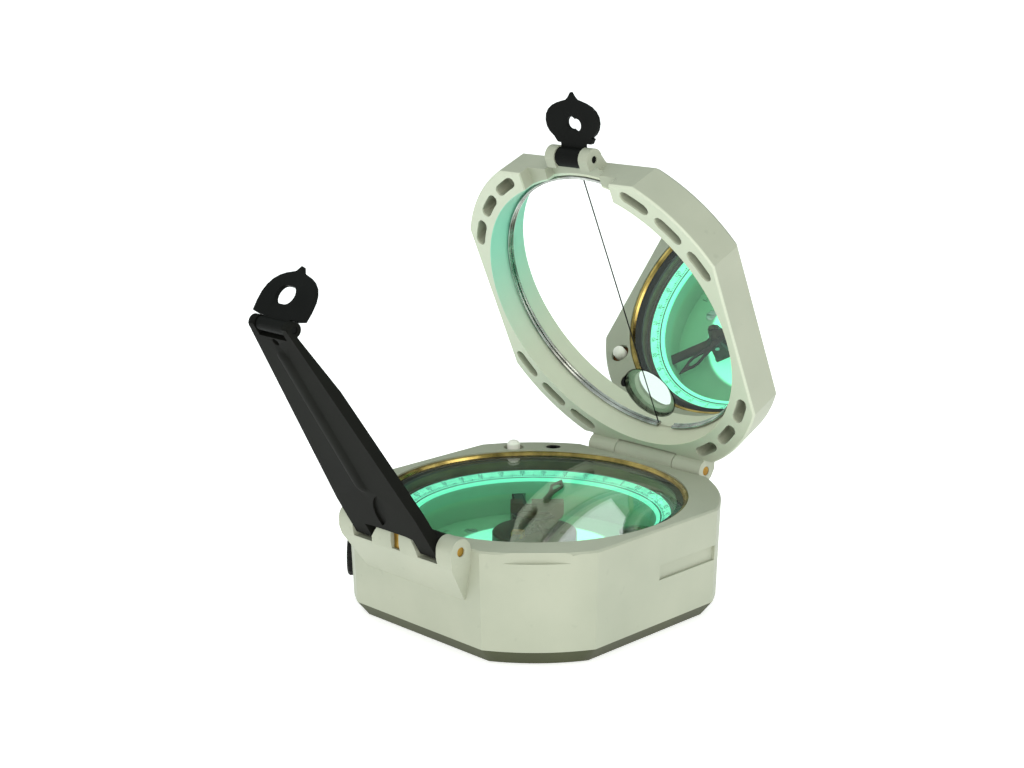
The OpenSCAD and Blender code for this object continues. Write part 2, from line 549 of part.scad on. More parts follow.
module sight_arm() color(black) on_arm() difference() {
  union() {
    // web
    translate([0, 0, web_v0]) linear_extrude(height = web_v1 - web_v0)
      polygon([[-0.9, 7.2], [-0.9, 12.3], [9.1, 12.1], [arm_len - 1, arm_tip], [arm_len + 1, arm_tip - 0.4], [arm_len + 1, -arm_tip + 0.4], [arm_len - 1, -arm_tip], [9.1, -12.1], [-0.9, -12.3], [-0.9, -7.2],
        [2.9, -7.2], [3.2, -5.2], [3.2, 5.2], [2.9, 7.2]]);
    // side flanges, fading out towards the tip
    both() {
      intersection() {
        translate([0, 0, 0.35]) linear_extrude(height = web_v1 - 0.35)
          polygon([[2.9, 12.25], [9.1, 12.1], [arm_len - 1, arm_tip], [arm_len + 1, arm_tip - 0.4], [arm_len + 1, arm_tip - 1.6], [arm_len - 1, arm_tip - 1.2], [9.1, 10.9], [2.9, 11.05]]);
        yplate([[0, -1], [arm_len - 16, 0.3], [arm_len - 2, 1.45], [arm_len + 2, 1.45], [arm_len + 2, 6], [0, 6]], -20, 20);
      }
      // feet round the hinge pin
      ycyl(0, 0, 2.55, 7.2, 12.3);
      yplate([[0, -2.55], [2.3, -0.6], [3.4, web_v0 + 0.2], [-0.6, web_v1 - 0.15], [-2.2, 0.8]], 7.2, 12.3);
    }
    // pressed rib along the middle
    intersection() {
      union() {
        translate([16, 0.3, web_v1 - 3.45]) rotate([0, 90, 0]) cylinder(h = arm_len - 23, r = 4, $fn = 96);
        for (u = [16, arm_len - 7]) translate([u, 0.3, web_v1 - 3.45]) sphere(r = 4, $fn = 96);
      }
      translate([0, -10, web_v1 - 0.15]) cube([80, 20, 4]);
    }
    // knuckles at the tip
    both() ycyl(arm_len, 1.2, 1.5, 4.1, 5.9, 48);
  }
  // hinge bore
  ycyl(0, 0, 1.05, -20, 20);
  // room of the tip sight's barrel
  translate([arm_len - 1.7, -4.1, -2]) cube([6, 8.2, 8]);
  // bore of the tip sight's pin
  ycyl(arm_len, 1.2, 0.7, -20, 20, 32);
  // small hole near the tip
  translate([arm_len - 2.75, 0, 0]) cylinder(h = 10, r = 0.8, $fn = 32);
  // lens-shaped dimple above the feet
  translate([9.3, -1.3, web_v1 - 0.5]) rotate([0, 0, -24]) intersection() {
    translate([0, -8.2, 0]) cylinder(h = 3, r = 9.8, $fn = 96);
    translate([0, 8.2, 0]) cylinder(h = 3, r = 9.8, $fn = 96);
  }
}

module arm_hinge_pin() color(brass) ycyl(arm_x, arm_z, 1, -16.7, 16.7);

module arm_sight_pin() color(black) on_arm() ycyl(arm_len, 1.2, 0.7, -5.7, 5.7, 32);

module arm_spring() color(brass) translate([-39.5, -1.55, arm_slot_z]) cube([0.5, 2.3, 3.8]);

body_case();
base_plate();
base_screws();
base_pads();
bezel_ring();
crystal();
crystal_gasket();
spacer_ring();
dial_plate();
dial_screws();
round_level_cup();
round_level_glass();
lift_bracket();
lift_lever_pin();
lift_lever();
lift_pin();
lift_spring();
lift_pin_bush();
lock_screw();
graduated_ring();
adjust_knob();
adjust_shaft();
drive_roller();
roller_tyre();
knob_seal();
clinometer_shaft();
clinometer_lever();
clinometer_seal();
clinometer_vernier();
level_holder();
level_vial();
damping_drum();
needle_pivot();
needle_blade();
needle_hub();
needle_magnets();
needle_jewel();
needle_weight();
lid_frame();
lid_mirror();
mirror_ring();
sighting_line();
lid_hinge_pin();
lid_sight();
lid_sight_pin();
arm_hinge_pin();
arm_spring();
sight_arm();
arm_sight();
arm_sight_pin();
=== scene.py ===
import json
import math

import bmesh
import bpy
import numpy as np
from mathutils import Matrix, Vector


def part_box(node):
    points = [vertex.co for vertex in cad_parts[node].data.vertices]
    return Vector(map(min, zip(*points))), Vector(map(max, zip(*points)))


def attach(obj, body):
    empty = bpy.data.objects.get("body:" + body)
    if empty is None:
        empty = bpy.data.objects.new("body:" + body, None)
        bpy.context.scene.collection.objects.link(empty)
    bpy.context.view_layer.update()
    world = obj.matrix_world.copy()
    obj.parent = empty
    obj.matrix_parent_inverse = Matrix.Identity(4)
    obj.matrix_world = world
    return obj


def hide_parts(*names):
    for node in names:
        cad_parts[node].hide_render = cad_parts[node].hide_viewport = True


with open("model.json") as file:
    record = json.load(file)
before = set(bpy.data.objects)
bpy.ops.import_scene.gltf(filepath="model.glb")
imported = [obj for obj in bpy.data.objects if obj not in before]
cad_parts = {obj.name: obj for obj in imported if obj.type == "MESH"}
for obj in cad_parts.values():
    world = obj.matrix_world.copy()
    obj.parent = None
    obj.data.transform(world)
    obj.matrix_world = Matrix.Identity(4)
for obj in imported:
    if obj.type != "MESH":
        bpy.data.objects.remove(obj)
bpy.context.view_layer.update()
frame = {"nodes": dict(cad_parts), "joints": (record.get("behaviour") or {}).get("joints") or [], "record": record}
NODES = frame["nodes"]

MM = 0.001
JOINTS = {j["name"]: j for j in frame["joints"]}
HINGE = Vector(JOINTS["lid_hinge"]["pos_m"])
LID_OPEN = math.radians(66.15)
TO_LID = Matrix.Translation(HINGE) @ Matrix.Rotation(LID_OPEN, 4, "Y") @ Matrix.Translation(-HINGE)
ARM = Vector(JOINTS["arm_hinge"]["pos_m"])
ARM_DIR = math.radians(121.4)
TO_ARM = Matrix.Translation(ARM) @ Matrix.Rotation(-ARM_DIR, 4, "Y")
LID_Z0 = 24.34 * MM


# ------------------------------------------------------------------ node helpers

class Mat:
    """A small builder for node materials."""

    def __init__(self, name):
        self.m = bpy.data.materials.new(name)
        self.m.use_nodes = True
        self.t = self.m.node_tree
        self.bsdf = self.t.nodes["Principled BSDF"]
        self.out = self.t.nodes["Material Output"]
        self._obj = None

    def node(self, kind, **sets):
        n = self.t.nodes.new(kind)
        for k, v in sets.items():
            setattr(n, k, v)
        return n

    def link(self, a, b):
        self.t.links.new(a, b)

    @property
    def obj(self):
        if self._obj is None:
            self._obj = self.node("ShaderNodeTexCoord").outputs["Object"]
        return self._obj

    def math(self, op, a, b=0.0, c=0.0, clamp=False):
        n = self.node("ShaderNodeMath", operation=op, use_clamp=clamp)
        for i, v in enumerate((a, b, c)):
            if isinstance(v, (int, float)):
                n.inputs[i].default_value = v
            else:
                self.link(v, n.inputs[i])
        return n.outputs[0]

    def noise(self, scale, detail=4.0, rough=0.55, vec=None, distortion=0.0):
        n = self.node("ShaderNodeTexNoise")
        n.inputs["Scale"].default_value = scale
        n.inputs["Detail"].default_value = detail
        n.inputs["Roughness"].default_value = rough
        n.inputs["Distortion"].default_value = distortion
        self.link(vec or self.obj, n.inputs["Vector"])
        return n.outputs["Fac"]

    def ramp(self, fac, stops, mode="LINEAR"):
        n = self.node("ShaderNodeValToRGB")
        n.color_ramp.interpolation = mode
        el = n.color_ramp.elements
        while len(el) < len(stops):
            el.new(0.5)
        for e, (p, c) in zip(el, stops):
            e.position = p
            e.color = (*c, 1) if len(c) == 3 else c
        self.link(fac, n.inputs["Fac"])
        return n.outputs["Color"]

    def mix(self, fac, a, b, blend="MIX"):
        n = self.node("ShaderNodeMix", data_type="RGBA", blend_type=blend)
        for sock, v in ((n.inputs[0], fac), (n.inputs[6], a), (n.inputs[7], b)):
            if isinstance(v, (int, float)):
                sock.default_value = v
            elif isinstance(v, tuple):
                sock.default_value = (*v, 1) if len(v) == 3 else v
            else:
                self.link(v, sock)
        return n.outputs[2]

    def bump(self, height, strength, distance):
        n = self.node("ShaderNodeBump")
        n.inputs["Strength"].default_value = strength
        n.inputs["Distance"].default_value = distance
        self.link(height, n.inputs["Height"])
        self.link(n.outputs["Normal"], self.bsdf.inputs["Normal"])

    def xyz(self, vec=None):
        n = self.node("ShaderNodeSeparateXYZ")
        self.link(vec or self.obj, n.inputs[0])
        return n.outputs

    def radius(self, vec=None):
        x, y, _ = self.xyz(vec)
        return self.math("SQRT", self.math("ADD", self.math("MULTIPLY", x, x), self.math("MULTIPLY", y, y)))

    def step(self, v, lo, hi):
        """0 below lo, 1 above hi"""
        n = self.node("ShaderNodeMapRange", interpolation_type="SMOOTHSTEP")
        n.inputs["From Min"].default_value = lo
        n.inputs["From Max"].default_value = hi
        self.link(v, n.inputs["Value"])
        return n.outputs["Result"]

    def band(self, v, lo, hi, soft):
        return self.math("MULTIPLY", self.step(v, lo - soft, lo + soft), self.math("SUBTRACT", 1.0, self.step(v, hi - soft, hi + soft)))

    def set(self, **k):
        for name, v in k.items():
            s = self.bsdf.inputs[name.replace("_", " ")]
            if isinstance(v, (int, float)):
                s.default_value = v
            elif isinstance(v, tuple):
                s.default_value = (*v, 1) if len(v) == 3 else v
            else:
                self.link(v, s)
        return self


def srgb(r, g, b):
    f = lambda c: c / 12.92 if c <= 0.04045 else ((c + 0.055) / 1.055) ** 2.4
    return tuple(f(v / 255) for v in (r, g, b))


def enamel(name, light, dark, rough=0.5, grain=0.35, coat=0.0):
    """Baked enamel over a casting: soft colour drift, fine orange peel and a few faint marks."""
    m = Mat(name)
    drift = m.noise(55, 3, 0.5)
    fine = m.noise(900, 5, 0.6)
    specks = m.ramp(m.noise(420, 2, 0.4), [(0.0, (0, 0, 0)), (0.70, (0, 0, 0)), (0.78, (1, 1, 1))])
    col = m.mix(m.ramp(drift, [(0.3, (0, 0, 0)), (0.7, (1, 1, 1))]), dark, light)
    col = m.mix(m.math("MULTIPLY", fine, 0.10), col, tuple(c * 0.72 for c in light))
    col = m.mix(m.math("MULTIPLY", specks, 0.16), col, tuple(c * 0.55 for c in dark))
    m.set(Base_Color=col, Roughness=m.math("MULTIPLY_ADD", drift, 0.14, rough - 0.07))
    m.bsdf.inputs["Coat Weight"].default_value = coat
    m.bsdf.inputs["Coat Roughness"].default_value = 0.25
    m.bump(m.math("ADD", m.math("MULTIPLY", fine, 0.6), m.math("MULTIPLY", m.noise(2600, 2, 0.5), 0.4)), grain, 0.00005)
    return m


def metal(name, light, dark, rough=0.28, turned=None, metallic=1.0, bump=0.15):
    """Worked metal: tarnish in patches, fine tool marks along the turning."""
    m = Mat(name)
    patch = m.noise(160, 4, 0.55)
    col = m.mix(m.ramp(patch, [(0.32, (0, 0, 0)), (0.68, (1, 1, 1))]), dark, light)
    fine = m.noise(2400, 3, 0.5)
    m.set(Base_Color=col, Metallic=metallic, Roughness=m.math("MULTIPLY_ADD", patch, 0.18, rough - 0.09))
    if turned:
        w = m.node("ShaderNodeTexWave", wave_type="RINGS", rings_direction=turned)
        w.inputs["Scale"].default_value = 1800
        w.inputs["Distortion"].default_value = 1.2
        m.link(m.obj, w.inputs["Vector"])
        fine = m.math("ADD", m.math("MULTIPLY", w.outputs["Fac"], 0.5), m.math("MULTIPLY", fine, 0.5))
    m.bump(fine, bump, 0.00003)
    return m


def rubber(name, col):
    m = Mat(name)
    n = m.noise(700, 4, 0.6)
    m.set(Base_Color=m.mix(n, tuple(c * 0.7 for c in col), tuple(c * 1.5 for c in col)), Roughness=m.math("MULTIPLY_ADD", n, 0.2, 0.62))
    m.bump(n, 0.3, 0.00005)
    return m


def lid_space(m):
    """Object coordinates turned back to where the lid is shut."""
    n = m.node("ShaderNodeVectorRotate", rotation_type="Y_AXIS")
    n.inputs["Center"].default_value = HINGE
    n.inputs["Angle"].default_value = -LID_OPEN
    m.link(m.obj, n.inputs["Vector"])
    return n.outputs["Vector"]


M = {}
CASE_LIGHT, CASE_DARK = srgb(173, 176, 158), srgb(162, 166, 148)
M["case_enamel"] = enamel("case_enamel", CASE_LIGHT, CASE_DARK, 0.52)

# lid: the same enamel, with painted light inside: rim face and recess lightened, a painted mint reflection of the
# glowing ring (with faint emission) on the far recess wall, and painted warm cream light on the recess wall towards -y
m = enamel("lid_enamel", CASE_LIGHT, CASE_DARK, 0.52)
v = lid_space(m)
x, y, z = m.xyz(v)
r = m.radius(v)
inner = m.math("MULTIPLY", m.math("SUBTRACT", 1.0, m.step(r, 0.03352, 0.03364)), m.math("SUBTRACT", 1.0, m.step(z, 0.0324, 0.0328)))
face = m.math("MULTIPLY", m.math("SUBTRACT", 1.0, m.step(z, 0.0246, 0.0250)), m.math("SUBTRACT", 1.0, m.step(x, 0.010, 0.045)))
far = m.math("MULTIPLY", m.step(y, -0.004, 0.030), m.math("SUBTRACT", 1.0, m.step(x, -0.020, 0.020)))
painted_glow = m.math("MULTIPLY", inner, far)
painted_warm_light = m.math("MULTIPLY", inner, m.math("SUBTRACT", 1.0, m.step(y, -0.03, 0.02)))
base = m.bsdf.inputs["Base Color"].links[0].from_socket
# painted light: the rim face and the recess are lightened towards a pale cream-green
base = m.mix(m.math("MULTIPLY", m.math("MAXIMUM", face, inner), 0.55), base, srgb(222, 228, 208))
# painted reflection: mint from the glowing ring on the far recess wall
base = m.mix(m.math("MULTIPLY", painted_glow, 0.75), base, srgb(122, 214, 190))
# painted warm light: cream lightening on the recess wall towards -y
base = m.mix(m.math("MULTIPLY", painted_warm_light, 0.45), base, srgb(232, 228, 196))
m.set(Base_Color=base)
# painted glow: the lid is no lamp, yet the far recess wall is given a faint mint emission
m.bsdf.inputs["Emission Color"].default_value = (*srgb(110, 225, 190), 1)
m.set(Emission_Strength=m.math("MULTIPLY", painted_glow, 0.10))
M["lid_enamel"] = m

M["base_olive"] = enamel("base_olive", srgb(68, 72, 46), srgb(56, 60, 36), 0.55)
M["base_olive"].bsdf.inputs["Specular IOR Level"].default_value = 0.25
M["dial_sage"] = Mat("dial_sage")
m = M["dial_sage"]
r = m.radius()
_, _, z = m.xyz()
n1 = m.noise(90, 4, 0.55)
sage = m.mix(n1, srgb(112, 176, 134), srgb(134, 196, 152))
wall = m.step(r, 0.0262, 0.0266)
sage = m.mix(m.math("MULTIPLY", wall, m.math("SUBTRACT", 1.0, m.step(z, 0.0125, 0.0145))), sage, srgb(116, 172, 136))
# painted glow: inside r = 18 mm the dial floor is painted near-white mint and given strong emission; the whole floor
# also glows faintly
lit = m.math("SUBTRACT", 1.0, m.step(r, 0.0178, 0.0189))
col = m.mix(lit, sage, srgb(176, 255, 224))
m.set(Base_Color=col, Roughness=m.math("MULTIPLY_ADD", n1, 0.1, 0.35))
m.set(Emission_Color=m.mix(lit, srgb(60, 150, 100), srgb(120, 255, 205)))
m.set(Emission_Strength=m.math("MULTIPLY_ADD", lit, 0.75, 0.16))
m.bump(m.noise(1500, 3, 0.5), 0.1, 0.00004)

m = Mat("dial_mint")
r = m.radius()
_, _, z = m.xyz()
mott = m.noise(520, 5, 0.62)
bandm = m.band(r, 0.02742, 0.02938, 0.00006)
topw = m.math("MULTIPLY", m.math("SUBTRACT", 1.0, m.step(r, 0.02633, 0.02636)), m.step(z, 0.01725, 0.01745))
flat = m.band(r, 0.02634, 0.02712, 0.00004)
wallm = m.math("MULTIPLY", m.math("SUBTRACT", 1.0, m.step(r, 0.02633, 0.02636)), m.math("SUBTRACT", 1.0, m.step(z, 0.01725, 0.01745)))
lipm = m.step(r, 0.02936, 0.02942)
mint = m.mix(mott, srgb(110, 230, 190), srgb(196, 255, 236))
col = m.mix(bandm, srgb(16, 58, 44), mint)
# painted glow colour: the top wall and the flat are painted near-white mint
col = m.mix(topw, col, srgb(140, 255, 220))
col = m.mix(flat, col, srgb(150, 255, 222))
col = m.mix(wallm, col, srgb(112, 178, 138))
col = m.mix(lipm, col, srgb(60, 46, 26))
# painted glow: the ring is no lamp, yet its band, top wall, flat and wall are given emission
lum = m.math("ADD", m.math("MULTIPLY", bandm, m.math("MULTIPLY_ADD", mott, 0.7, 0.35)), m.math("MULTIPLY", topw, 0.85))
lum = m.math("ADD", lum, m.math("MULTIPLY", flat, 0.8))
lum = m.math("ADD", lum, m.math("MULTIPLY", wallm, 0.10))
m.set(Base_Color=col, Roughness=0.38, Emission_Color=m.mix(bandm, srgb(110, 255, 205), srgb(95, 255, 205)), Emission_Strength=lum)
m.bump(mott, 0.12, 0.00005)
M["dial_mint"] = m

M["pad_rubber"] = rubber("pad_rubber", srgb(44, 44, 42))
M["seal_rubber"] = rubber("seal_rubber", srgb(38, 36, 34))
M["tyre_rubber"] = rubber("tyre_rubber", srgb(42, 42, 42))
M["screw_steel"] = metal("screw_steel", srgb(205, 206, 206), srgb(160, 160, 158), 0.3, "Z")
M["spring_steel"] = metal("spring_steel", srgb(205, 206, 208), srgb(170, 170, 170), 0.25)
M["shaft_steel"] = metal("shaft_steel", srgb(196, 197, 198), srgb(150, 150, 150), 0.25)
M["ring_steel"] = metal("ring_steel", srgb(206, 208, 204), srgb(120, 122, 118), 0.12)
M["magnet_steel"] = metal("magnet_steel", srgb(170, 171, 172), srgb(130, 130, 130), 0.35)
M["bezel_brass"] = metal("bezel_brass", srgb(196, 172, 104), srgb(112, 96, 52), 0.2, "Z")
M["spacer_brass"] = metal("spacer_brass", srgb(104, 104, 66), srgb(70, 74, 44), 0.35, "Z", metallic=0.4)
M["spacer_brass"].bsdf.inputs["Specular IOR Level"].default_value = 0.2
M["pin_brass"] = metal("pin_brass", srgb(190, 152, 74), srgb(132, 98, 40), 0.3)
M["roller_brass"] = metal("roller_brass", srgb(216, 172, 84), srgb(160, 118, 50), 0.3)
M["bush_brown"] = metal("bush_brown", srgb(96, 66, 38), srgb(60, 40, 26), 0.4)
M["level_bronze"] = metal("level_bronze", srgb(88, 96, 62), srgb(56, 58, 36), 0.4, metallic=0.7)
M["lever_bronze"] = metal("lever_bronze", srgb(64, 58, 38), srgb(36, 32, 20), 0.4, metallic=0.7)
M["vernier_bronze"] = metal("vernier_bronze", srgb(92, 90, 60), srgb(60, 58, 36), 0.4, metallic=0.7)
M["drum_bronze"] = metal("drum_bronze", srgb(78, 72, 46), srgb(56, 52, 32), 0.42, "Z", metallic=0.4)
M["needle_black"] = metal("needle_black", srgb(44, 38, 26), srgb(24, 22, 14), 0.35, metallic=0.4)
M["black_steel"] = metal("black_steel", srgb(26, 26, 25), srgb(14, 14, 13), 0.45, metallic=0.2)
M["knob_black"] = metal("knob_black", srgb(26, 26, 25), srgb(14, 14, 13), 0.5, metallic=0.1)
M["drum_bronze"].bsdf.inputs["Specular IOR Level"].default_value = 0.25
M["needle_black"].bsdf.inputs["Specular IOR Level"].default_value = 0.35
M["lever_black"] = enamel("lever_black", srgb(36, 36, 34), srgb(24, 24, 22), 0.45)
M["line_black"] = enamel("line_black", srgb(34, 34, 34), srgb(20, 20, 20), 0.6)
M["pin_white"] = enamel("pin_white", srgb(250, 248, 242), srgb(240, 237, 228), 0.4)
M["sight_black"] = enamel("sight_black", srgb(24, 25, 24), srgb(15, 16, 15), 0.46, 0.25)
M["arm_black"] = enamel("arm_black", srgb(27, 28, 25), srgb(16, 16, 14), 0.6, 0.3)
for name, level in (("sight_black", 0.04), ("arm_black", 0.04), ("line_black", 0.1), ("black_steel", 0.15), ("knob_black", 0.15)):
    M[name].bsdf.inputs["Specular IOR Level"].default_value = level

m = Mat("jewel_red")
n1 = m.noise(1200, 3)
m.set(Base_Color=m.mix(n1, srgb(150, 20, 40), srgb(200, 50, 70)), Roughness=0.08)
m.bsdf.inputs["Transmission Weight"].default_value = 0.6
m.bsdf.inputs["IOR"].default_value = 1.76
M["jewel_red"] = m


def clear_glass(name, tint, ior=1.5, rough=0.0, dust=0.0):
    """Glass that lets the room's light through to what lies under it."""
    m = Mat(name)
    n = m.noise(180, 5, 0.6)
    m.set(Base_Color=m.mix(n, tint, tuple(min(1, c * 1.01) for c in tint)))
    m.bsdf.inputs["Roughness"].default_value = rough
    m.bsdf.inputs["Transmission Weight"].default_value = 1.0
    m.bsdf.inputs["IOR"].default_value = ior
    clear = m.node("ShaderNodeBsdfTransparent")
    clear.inputs[0].default_value = (*tint, 1)
    path = m.node("ShaderNodeLightPath")
    either = m.math("MAXIMUM", path.outputs["Is Shadow Ray"], path.outputs["Is Diffuse Ray"])
    mix = m.node("ShaderNodeMixShader")
    m.link(either, mix.inputs[0])
    shader = m.bsdf.outputs[0]
    if dust:
        dirt = m.node("ShaderNodeBsdfDiffuse")
        dirt.inputs[0].default_value = (*srgb(225, 240, 230), 1)
        d = m.node("ShaderNodeMixShader")
        m.link(m.math("MULTIPLY", m.step(m.noise(60, 5, 0.65), 0.45, 0.8), dust), d.inputs[0])
        m.link(shader, d.inputs[1])
        m.link(dirt.outputs[0], d.inputs[2])
        shader = d.outputs[0]
    m.link(shader, mix.inputs[1])
    m.link(clear.outputs[0], mix.inputs[2])
    m.link(mix.outputs[0], m.out.inputs["Surface"])
    return m


M["crystal"] = clear_glass("crystal", srgb(246, 253, 249), 1.5, 0.0, 0.02)
M["level_glass"] = clear_glass("level_glass", srgb(176, 224, 140), 1.45, 0.02)

# mirror: silvered glass with a clear oval in front of the see-through window
m = Mat("mirror")
v = lid_space(m)
x, y, z = m.xyz(v)
ex = m.math("DIVIDE", m.math("SUBTRACT", x, 0.0238), 0.0063)
ey = m.math("DIVIDE", y, 0.0070)
e = m.math("SQRT", m.math("ADD", m.math("MULTIPLY", ex, ex), m.math("MULTIPLY", ey, ey)))
clear = m.math("SUBTRACT", 1.0, m.step(e, 0.985, 1.0))
edge = m.math("MULTIPLY", m.band(e, 0.97, 1.045, 0.015), 0.85)
smear = m.noise(120, 5, 0.6)
m.set(Base_Color=m.mix(edge, m.mix(smear, srgb(246, 249, 247), srgb(250, 252, 250)), srgb(70, 76, 70)), Metallic=1.0,
      Roughness=m.math("MULTIPLY_ADD", m.step(smear, 0.55, 0.9), 0.012, 0.004))
see = m.node("ShaderNodeBsdfTransparent")
see.inputs[0].default_value = (*srgb(236, 244, 240), 1)
gloss = m.node("ShaderNodeBsdfGlossy")
gloss.inputs["Roughness"].default_value = 0.01
pane = m.node("ShaderNodeMixShader")
pane.inputs[0].default_value = 0.03
m.link(see.outputs[0], pane.inputs[1])
m.link(gloss.outputs[0], pane.inputs[2])
mix = m.node("ShaderNodeMixShader")
m.link(clear, mix.inputs[0])
m.link(m.bsdf.outputs[0], mix.inputs[1])
m.link(pane.outputs[0], mix.inputs[2])
m.link(mix.outputs[0], m.out.inputs["Surface"])
M["mirror"] = m


# ------------------------------------------------------------------ CAD nodes

def smooth(o, angle=32):
    me = o.data
    for name in ("custom_normal", "sharp_face", "sharp_edge"):
        a = me.attributes.get(name)
        if a is not None:
            me.attributes.remove(a)
    me.polygons.foreach_set("use_smooth", [True] * len(me.polygons))
    me.set_sharp_from_angle(angle=math.radians(angle))


def weld_copy(node):
    """A copy of a CAD node's mesh with its shared points joined and its degenerate edges and faces dissolved."""
    src = NODES[node]
    me = bpy.data.meshes.new(node + "_skin")
    bm = bmesh.new()
    bm.from_mesh(src.data)
    bmesh.ops.remove_doubles(bm, verts=bm.verts, dist=2e-6)
    bmesh.ops.dissolve_degenerate(bm, edges=bm.edges, dist=1e-7)
    bm.to_mesh(me)
    bm.free()
    return me


BEVEL = {
    "body_case": 0.30, "lid_frame": 0.32, "base_plate": 0.35, "sight_arm": 0.22, "arm_sight": 0.10, "lid_sight": 0.12,
    "adjust_knob": 0.12, "bezel_ring": 0.05, "lock_screw": 0.06, "needle_hub": 0.08, "damping_drum": 0.08,
    "clinometer_lever": 0.15, "lift_lever": 0.06, "lift_bracket": 0.08, "round_level_cup": 0.05, "level_holder": 0.08,
    "lid_hinge_pin": 0.06, "arm_hinge_pin": 0.06, "base_screws": 0.06, "dial_screws": 0.04, "base_pads": 0.08,
}
SLOT = {s["node"]: s["material_slot"] for s in frame["record"]["subparts"]}
for name, o in NODES.items():
    mat = M[SLOT[name]].m
    if name in BEVEL:
        # the drawn solid with its edges eased, standing for the sharp one
        skin = bpy.data.objects.new(name + "_eased", weld_copy(name))
        bpy.context.scene.collection.objects.link(skin)
        skin.data.materials.clear()
        skin.data.materials.append(mat)
        skin.data.polygons.foreach_set("use_smooth", [True] * len(skin.data.polygons))
        b = skin.modifiers.new("ease", "BEVEL")
        b.width = BEVEL[name] * MM
        b.segments = 3
        b.limit_method = "ANGLE"
        b.angle_limit = math.radians(28)
        b.use_clamp_overlap = True
        b.harden_normals = False
        w = skin.modifiers.new("normals", "WEIGHTED_NORMAL")
        w.keep_sharp = False
        w.weight = 80
        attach(skin, next(k for k, l in frame["record"]["behaviour"]["bodies"].items() if name in l))
        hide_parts(name)
    else:
        o.data.materials.clear()
        o.data.materials.append(mat)
        smooth(o)


def add(name, verts, faces, mat, body, shade=False, matrix=None):
    me = bpy.data.meshes.new(name)
    me.from_pydata([tuple(v) for v in verts], [], faces)
    me.update()
    if matrix is not None:
        me.transform(matrix)
    me.materials.append(mat.m)
    me.polygons.foreach_set("use_smooth", [shade] * len(me.polygons))
    o = bpy.data.objects.new(name, me)
    bpy.context.scene.collection.objects.link(o)
    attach(o, body)
    return o


# ------------------------------------------------------------------ graduations

ink = Mat("graduation_ink")
n1 = ink.noise(1500, 3)
ink.set(Base_Color=ink.mix(n1, srgb(8, 48, 36), srgb(22, 84, 64)), Roughness=0.5)


def cone_point(rad, ang, lift=0.035):
    """A point on the graduated cone, rad in mm, lifted off it a little."""
    z = 18.2 + (rad - 27.5) * (19.15 - 18.2) / (29.4 - 27.5) + lift
    return Vector((rad * math.cos(ang) * MM, rad * math.sin(ang) * MM, z * MM))


verts, faces = [], []
for k in range(360):
    a = math.radians(k)
    long = 0.62 if k % 10 == 0 else (0.5 if k % 5 == 0 else 0.34)
    half = math.radians(0.16 if k % 5 else 0.24)
    i = len(verts)
    verts += [cone_point(27.62, a - half), cone_point(27.62 + long, a - half), cone_point(27.62 + long, a + half), cone_point(27.62, a + half)]
    faces.append((i, i + 1, i + 2, i + 3))


def numeral_mesh(text, size):
    c = bpy.data.curves.new("n", "FONT")
    c.body = text
    c.size = size
    c.align_x, c.align_y = "CENTER", "CENTER"
    c.resolution_u = 3
    o = bpy.data.objects.new("n", c)
    bpy.context.scene.collection.objects.link(o)
    bpy.context.view_layer.update()
    me = bpy.data.meshes.new_from_object(o.evaluated_get(bpy.context.evaluated_depsgraph_get()))
    got = ([v.co.copy() for v in me.vertices], [tuple(p.vertices) for p in me.polygons])
    bpy.data.objects.remove(o)
    bpy.data.curves.remove(c)
    bpy.data.meshes.remove(me)
    return got


for k in range(0, 360, 10):
    vs, fs = numeral_mesh(str(k), 1.25)
    i = len(verts)
    for v in vs:
        # tops of the numerals point to the middle, so they read from outside
        rad = 28.78 - v.y
        ang = math.radians(k) + v.x / 28.8
        verts.append(cone_point(rad, ang))
    faces += [tuple(i + j for j in f) for f in fs]
add("ring_graduations", verts, faces, ink, "circle")

# clinometer scale on the dial floor
verts, faces = [], []
for k in range(-90, 91):
    a = math.radians(235 - 46 + k)
    r0, r1 = 23.6, 23.6 + (1.6 if k % 10 == 0 else (1.2 if k % 5 == 0 else 0.8))
    w = 0.05 if k % 5 else 0.09
    d = Vector((math.cos(a), math.sin(a), 0))
    t = Vector((-math.sin(a), math.cos(a), 0))
    i = len(verts)
    z = Vector((0, 0, 9.64))
    verts += [(d * r0 - t * w + z) * MM, (d * r1 - t * w + z) * MM, (d * r1 + t * w + z) * MM, (d * r0 + t * w + z) * MM]
    faces.append((i, i + 1, i + 2, i + 3))
add("dial_scale", verts, faces, ink, "case")


# ------------------------------------------------------------------ bubbles

def ball(name, at, rad, squash, mat, body, axis=None):
    bm = bmesh.new()
    bmesh.ops.create_uvsphere(bm, u_segments=28, v_segments=16, radius=1)
    me = bpy.data.meshes.new(name)
    bm.to_mesh(me)
    bm.free()
    s = Matrix.Diagonal((*squash, 1)) * 1.0
    rot = Matrix.Rotation(axis, 4, "Z") if axis is not None else Matrix.Identity(4)
    me.transform(Matrix.Translation(Vector(at)) @ rot @ Matrix.Diagonal((squash[0] * rad, squash[1] * rad, squash[2] * rad, 1)))
    me.materials.append(mat.m)
    me.polygons.foreach_set("use_smooth", [True] * len(me.polygons))
    o = bpy.data.objects.new(name, me)
    bpy.context.scene.collection.objects.link(o)
    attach(o, body)
    return o


